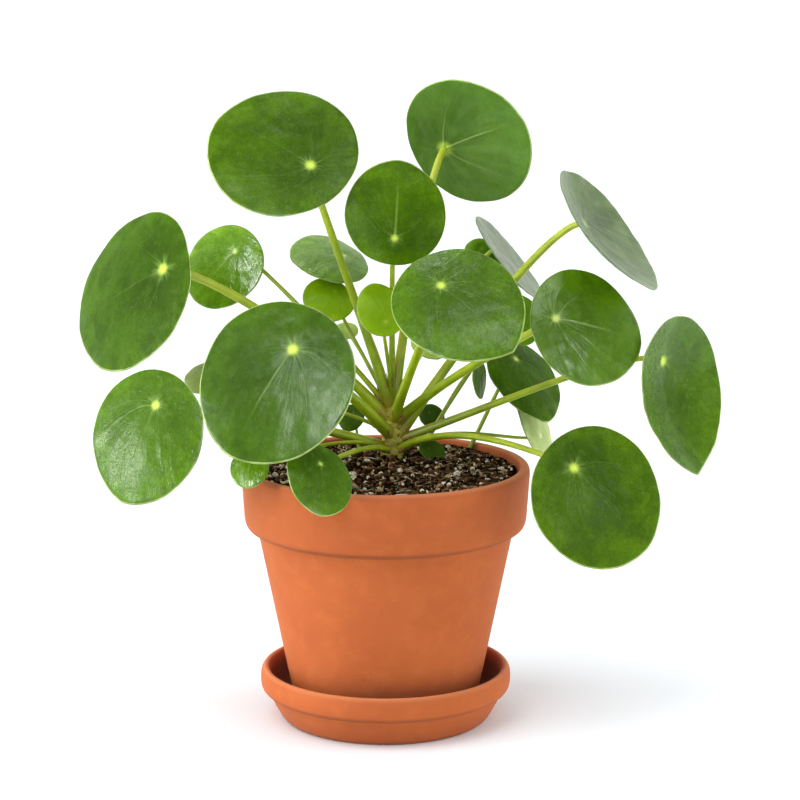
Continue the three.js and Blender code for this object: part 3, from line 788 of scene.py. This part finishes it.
for radius, height in SOIL_FOOT:
    for i in range(SOIL_SIDES):
        angle = 2 * math.pi * i / SOIL_SIDES
        soil_points.append((radius * math.cos(angle), radius * math.sin(angle), height))
soil_faces.append(tuple(reversed(range(len(soil_points) - SOIL_SIDES, len(soil_points)))))
piece("potting_soil", soil_points, soil_faces, [DAMP_PEAT], ["soil"])


# What lies on the soil, strewn by Geometry Nodes
RANDOM = "FunctionNodeRandomValue"
LYING_TILT = 0.25  # how far a thread that lies may tip, in radians


def strewn(name, ground, shape, per_m2, sizes_mm, stretch, finish, seed, lift_mm=0.0, lying=False):
    """A piece of small shapes strewn over the ground, each with its own turn, size, proportions and shade."""
    tree = bpy.data.node_groups.new(name, "GeometryNodeTree")
    sockets = {}
    for label, kind, given in (
        ("Ground", "NodeSocketGeometry", None),
        ("Per Square Metre", "NodeSocketFloat", per_m2),
        ("Smallest", "NodeSocketFloat", sizes_mm[0] * MM),
        ("Largest", "NodeSocketFloat", sizes_mm[1] * MM),
        ("Seed", "NodeSocketInt", seed),
    ):
        socket = tree.interface.new_socket(label, in_out="INPUT", socket_type=kind)
        if given is not None:
            sockets[socket.identifier] = given
    tree.interface.new_socket("Strewn", in_out="OUTPUT", socket_type="NodeSocketGeometry")
    entry = add(tree, "NodeGroupInput").outputs
    spread = add(
        tree,
        "GeometryNodeDistributePointsOnFaces",
        {"Mesh": entry["Ground"], "Density": entry["Per Square Metre"], "Seed": entry["Seed"]},
    )
    # Random Value takes the limits of a vector on sockets 0 and 1, and those of a float on 2 and 3
    sizes = {2: entry["Smallest"], 3: entry["Largest"], "Seed": entry["Seed"]}
    size = add(tree, RANDOM, sizes, data_type="FLOAT")
    tilt = (LYING_TILT, LYING_TILT, math.tau) if lying else (math.tau, math.tau, math.tau)
    turn = add(tree, RANDOM, {0: (0, 0, 0), 1: tilt, "Seed": seed + 1}, data_type="FLOAT_VECTOR")
    least = tuple(0.6 * side for side in stretch)
    uneven = add(tree, RANDOM, {0: least, 1: stretch, "Seed": seed + 2}, data_type="FLOAT_VECTOR")
    scale = add(tree, VECTORS, {0: uneven, "Scale": size}, operation="SCALE")
    grains = {"Points": spread.outputs["Points"], "Instance": shape(tree), "Rotation": turn, "Scale": scale}
    instances = add(tree, "GeometryNodeInstanceOnPoints", grains)
    lift = {"Instances": instances, "Translation": (0, 0, lift_mm * MM), "Local Space": False}
    lifted = add(tree, "GeometryNodeTranslateInstances", lift)
    shade = add(tree, RANDOM, {2: 0.0, 3: 1.0, "Seed": seed + 3}, data_type="FLOAT")
    shading = {"Geometry": lifted, "Name": "shade", "Value": shade}
    shaded = add(tree, "GeometryNodeStoreNamedAttribute", shading, data_type="FLOAT", domain="INSTANCE")
    real = add(tree, "GeometryNodeRealizeInstances", [shaded])
    add(tree, "NodeGroupOutput", [add(tree, "GeometryNodeSetMaterial", {0: real, "Material": finish})])
    sown = bpy.data.objects.new(f"{name}_ground", ground)
    bpy.context.scene.collection.objects.link(sown)
    modifier = sown.modifiers.new(name, "NODES")
    modifier.node_group = tree
    for identifier, given in sockets.items():
        modifier[identifier] = given
    evaluated = sown.evaluated_get(bpy.context.evaluated_depsgraph_get())
    mesh = bpy.data.meshes.new_from_object(evaluated)
    bpy.data.objects.remove(sown)
    mesh.name = name
    settle(bpy.data.objects.new(name, mesh))


def pebble_shape(tree):
    """A ball of a few dozen faces; this and the next two shapes are 1 m across, to be scaled."""
    ball = add(tree, "GeometryNodeMeshUVSphere", {"Segments": 7, "Rings": 5, "Radius": 0.5})
    return add(tree, "GeometryNodeSetShadeSmooth", [ball])


def crumb_shape(tree):
    """A rough lump of twenty faces."""
    return add(tree, "GeometryNodeMeshIcoSphere", {"Subdivisions": 1, "Radius": 0.5})


def thread_shape(tree):
    """A thin bent thread lying along X."""
    bend = {"Resolution": 5, "Start": (-0.5, 0, 0), "Middle": (0, 0.22, 0.05), "End": (0.5, 0, 0)}
    line = add(tree, "GeometryNodeCurveQuadraticBezier", bend)
    section = add(tree, "GeometryNodeCurvePrimitiveCircle", {"Resolution": 5, "Radius": 0.03})
    return add(tree, "GeometryNodeCurveToMesh", {"Curve": line, "Profile Curve": section, "Fill Caps": True})


# Nothing is strewn on the outermost soil, so that nothing reaches into the pot's wall
STREWN_REACH = 58.6
ground = bpy.data.meshes.new("soil_top")
ground.from_pydata(
    [Vector(p) * MM for p in top_points if math.hypot(*p[:2]) < STREWN_REACH],
    [],
    [f for f in top_faces if all(math.hypot(*top_points[v][:2]) < STREWN_REACH for v in f)],
)
strewn("loose_peat", ground, crumb_shape, 360000, (0.8, 3.4), (1.2, 1.0, 0.6), PEAT_CRUMB, 11)
strewn("perlite_grains", ground, pebble_shape, 4800, (1.6, 5.0), (1.0, 1.0, 0.85), PERLITE, 23, 0.3)
strewn("coir_threads", ground, thread_shape, 60000, (2.5, 8.0), (1.0, 1.0, 1.0), ROOT_FIBRE, 37, 0.7, True)

# Trunk: swellings, each with the scar of an old leaf, and a blunt crown
TRUNK_SIDES = 40
SCARS, SCAR_PITCH, SCAR_TAPER = 5, 4.45, 0.14
trunk_profile = [(0.2, 98.0), (3.8, 98.0), (5.0, 102.0), (5.0, 119.0)]
for scar in range(SCARS):
    foot = 120.0 + SCAR_PITCH * scar
    taper = SCAR_TAPER * scar
    trunk_profile += [(5.5 - taper, foot + 1.8), (4.4 - taper, foot + 4.0)]
trunk_profile += [(2.6, 144.0), (0.2, 145.0)]
trunk_points, trunk_faces = turned(eased(trunk_profile, 2.0, False, 5), TRUNK_SIDES, False)
knobbly = []
for x, y, z in trunk_points:
    here = Vector((x, y, z))
    bulge = 1 + 0.16 * noise.noise(here / 3.4) + 0.07 * noise.noise(here / 1.3)
    knobbly.append((TRUNK_AT[0] + x * bulge, TRUNK_AT[1] + y * bulge, z))
piece("knobbly_trunk", knobbly, trunk_faces, [TRUNK_BARK], ["trunk"])

# Stipules: a pair of dry pointed scales at the foot of each stalk on the trunk
SCALE_STEPS, SCALE_WIDTH, SCALE_LENGTH, SCALE_HALF_THICK = 6, 1.4, 7.0, 0.16
IN_TRUNK, UPRIGHT = 5.0, 0.3  # how far from the trunk's axis they start, less for a stalk that is upright
scale_points, scale_faces = [], []
for plan in LEAVES:
    if isinstance(plan.stem.root, tuple):
        continue
    path = stalk_path(plan, 60)
    onward = (path[6] - path[2]).normalized()
    clear = IN_TRUNK / math.hypot(onward.x, onward.y, UPRIGHT)
    for side in (-1, 1):
        first = len(scale_points)
        foot = path[0] + onward * clear
        sideways = onward.cross(Vector((0, 0, 1))).normalized() * side
        outward = (sideways - Vector((0, 0, 0.5))).normalized()
        for step in range(SCALE_STEPS + 1):
            s = step / SCALE_STEPS
            middle = foot + onward * (s - 0.2) * SCALE_LENGTH
            middle += outward * (plan.stem.thick * 1.25 + 0.9 * s * s)
            half = onward.cross(outward) * SCALE_WIDTH * (1 - s) ** 0.6 * (0.7 + 0.5 * s)
            thick = outward * SCALE_HALF_THICK
            scale_points += [middle - half, middle + thick, middle + half, middle - thick]
        scale_faces += tube_faces(first, SCALE_STEPS + 1, 4)
piece("papery_stipules", scale_points, scale_faces, [DRY_BRACT])

# Leaves: small blades have fewer sides and rings than large ones
LARGE_BLADE = 15
for index, plan in enumerate(LEAVES):
    number = f"{index + 1:02d}"
    sides, rings = (96, 22) if plan.radius > LARGE_BLADE else (56, 12)
    points, faces, finish_of, shares, flats = blade(plan, index, sides, rings)
    face = LEAF_FACES[plan.look]
    fields = {"share": shares, "radius": [plan.radius * MM] * len(points)}
    piece(
        f"blade_{number}",
        points,
        faces,
        [face, LEAF_BACK, face if plan.look == "sheen_greyed" else LEAF_MARGIN],
        [f"leaf_blade_{number}"],
        finish_of,
        fields,
        flats,
    )
    points, faces, fields = stalk(plan, index)
    stands_for = [f"leaf_stalk_{number}"]
    piece(f"stalk_{number}", points, faces, [STALK_SKIN], stands_for, fields=fields)

# Young offsets: blade and stalk together
for index, plan in enumerate(OFFSETS):
    number = f"{index + 1:02d}"
    points, faces, finish_of, shares, flats = blade(plan, index, sides=40, rings=9)
    stem_points, stem_faces, stem_fields = stalk(plan, index, steps=20, sides=8)
    first = len(points)
    points = points + stem_points
    faces = faces + [tuple(first + v for v in face) for face in stem_faces]
    fields = {
        "share": shares + stem_fields["share"],
        "upper": [0.0] * len(shares) + stem_fields["upper"],
        "radius": [plan.radius * MM] * len(points),
    }
    piece(
        f"young_offset_{number}",
        points,
        faces,
        [LEAF_FACES[plan.look], LEAF_BACK, LEAF_MARGIN, STALK_SKIN],
        [f"offset_{number}"],
        finish_of + [STALK] * len(stem_faces),
        fields,
        flats + [(0.0, 0.0)] * len(stem_points),
    )

# Floor, light and camera
FLOOR_FRONT, FLOOR_BACK, FLOOR_HALF_WIDTH = -4, 28, 14
floor_mesh = bpy.data.meshes.new("floor")
floor_mesh.from_pydata(
    [
        (-FLOOR_HALF_WIDTH, FLOOR_FRONT, 0),
        (FLOOR_HALF_WIDTH, FLOOR_FRONT, 0),
        (FLOOR_HALF_WIDTH, FLOOR_BACK, 0),
        (-FLOOR_HALF_WIDTH, FLOOR_BACK, 0),
    ],
    [],
    [(0, 1, 2, 3)],
)


def studio_paper(tree, where):
    """Seamless white paper, faintly uneven; it lights the plant more than the eye sees on it."""
    seen = add(tree, "ShaderNodeLightPath").outputs["Is Camera Ray"]
    tone = patches(tree, where, 300, 0.3, 0.7)
    return {
        "Base Color": painted(tree, "#eff5f9", (tone, "#f1f7fb")),
        "Emission Strength": add(tree, REMAP, [seen, 0, 1, 0.28, 0]),
    }


STUDIO_PAPER = material(
    "studio_paper", studio_paper, Roughness=0.95, Specular_IOR_Level=0.0, Emission_Color=linear("#fff2ea")
)
floor_mesh.materials.append(STUDIO_PAPER)
floor = bpy.data.objects.new("floor", floor_mesh)
bpy.context.scene.collection.objects.link(floor)

# The air is an even soft white, but mirrored it is a white backdrop behind the plant and a dim room in front
AIR, ROOM, BACKDROP = 0.86, 0.08, 1.0
world = bpy.data.worlds.new("studio")
world.use_nodes = True
air = world.node_tree
mirrored = add(air, "ShaderNodeLightPath").outputs["Is Glossy Ray"]
direction = add(air, "ShaderNodeTexCoord").outputs["Generated"]
towards_back = add(air, "ShaderNodeSeparateXYZ", [direction]).outputs["Y"]
studio = add(air, REMAP, [towards_back, -0.1, 0.6, ROOM, BACKDROP], **SMOOTH)
strength = add(air, "ShaderNodeMix", {0: mirrored, 2: AIR, 3: studio}, data_type="FLOAT")
background = air.nodes["Background"]
background.inputs["Color"].default_value = (1, 1, 1, 1)
air.links.new(shown(strength), background.inputs["Strength"])
bpy.context.scene.world = world

# Some lamps light only the plant or only the floor, so that each is as bright as it should be
ON_PLANT = bpy.data.collections.new("lit_plant")
for made in bpy.context.scene.objects:
    if made.type == "MESH" and made != floor:
        ON_PLANT.objects.link(made)
ON_FLOOR = bpy.data.collections.new("lit_floor")
ON_FLOOR.objects.link(floor)
PLANT_MIDDLE = (0, 0, 0.16)


def lamp(name, kind, energy, azimuth, elevation, away=1.6, diffuse=True, glossy=True, on=None, **settings):
    """A light on the plant, from degrees right of the front and above level, on matt, on shine or on both."""
    data = bpy.data.lights.new(name, kind)
    data.energy = energy
    for key, value in settings.items():
        setattr(data, key, value)
    made = bpy.data.objects.new(name, data)
    turn, rise = math.radians(azimuth), math.radians(elevation)
    towards = Vector((math.sin(turn) * math.cos(rise), -math.cos(turn) * math.cos(rise), math.sin(rise)))
    made.location = Vector(PLANT_MIDDLE) + towards * away
    made.rotation_euler = towards.to_track_quat("Z", "Y").to_euler()
    made.visible_diffuse = diffuse
    made.visible_glossy = glossy
    if on:
        made.light_linking.receiver_collection = on
    bpy.context.scene.collection.objects.link(made)


SUN = {"glossy": False, "angle": math.radians(55)}
SOFTBOX = {"away": 1.2, "glossy": False, "shape": "RECTANGLE", "size": 0.8, "size_y": 1.0}
STRIP = {"diffuse": False, "shape": "RECTANGLE"}
lamp("window_sun", "SUN", 1.45, -58, 55, on=ON_PLANT, **SUN)
lamp("floor_sun", "SUN", 2.05, -58, 55, on=ON_FLOOR, **SUN)
lamp("left_softbox", "AREA", 19, -88, 16, on=ON_PLANT, **SOFTBOX)
lamp("right_softbox", "AREA", 9, 97, 5, **SOFTBOX)
lamp("front_strip", "AREA", 26, -13, 22, size=0.3, size_y=0.8, **STRIP)
lamp("upper_strip", "AREA", 7, -36, 42, size=0.32, size_y=0.36, **STRIP)
lamp("low_strip", "AREA", 15, -74, 2, size=0.5, size_y=0.42, **STRIP)
lamp("top_strip", "AREA", 10, 35, 58, size=0.8, size_y=0.5, **STRIP)
lamp("back_strip", "AREA", 4, -178, 78, size=0.4, size_y=0.3, **STRIP)
lamp("right_strip", "AREA", 9, 45, 15, size=0.3, size_y=0.4, **STRIP)

# The camera was fitted to the ellipses of pot and saucer in the photo: 1.2 m away, looking a little down
CAMERA_AT, LOOKS_DOWN = (0, -1.2, 0.385), 11.15
camera_data = bpy.data.cameras.new("camera")
camera_data.lens = 121.1
camera_data.sensor_width = 36
camera_data.shift_x = 0.018
camera_data.clip_end = 60
camera = bpy.data.objects.new("camera", camera_data)
camera.location = CAMERA_AT
camera.rotation_euler = (math.radians(90 - LOOKS_DOWN), 0, 0)
bpy.context.scene.collection.objects.link(camera)
bpy.context.scene.camera = camera
bpy.context.scene.view_settings.view_transform = "Standard"
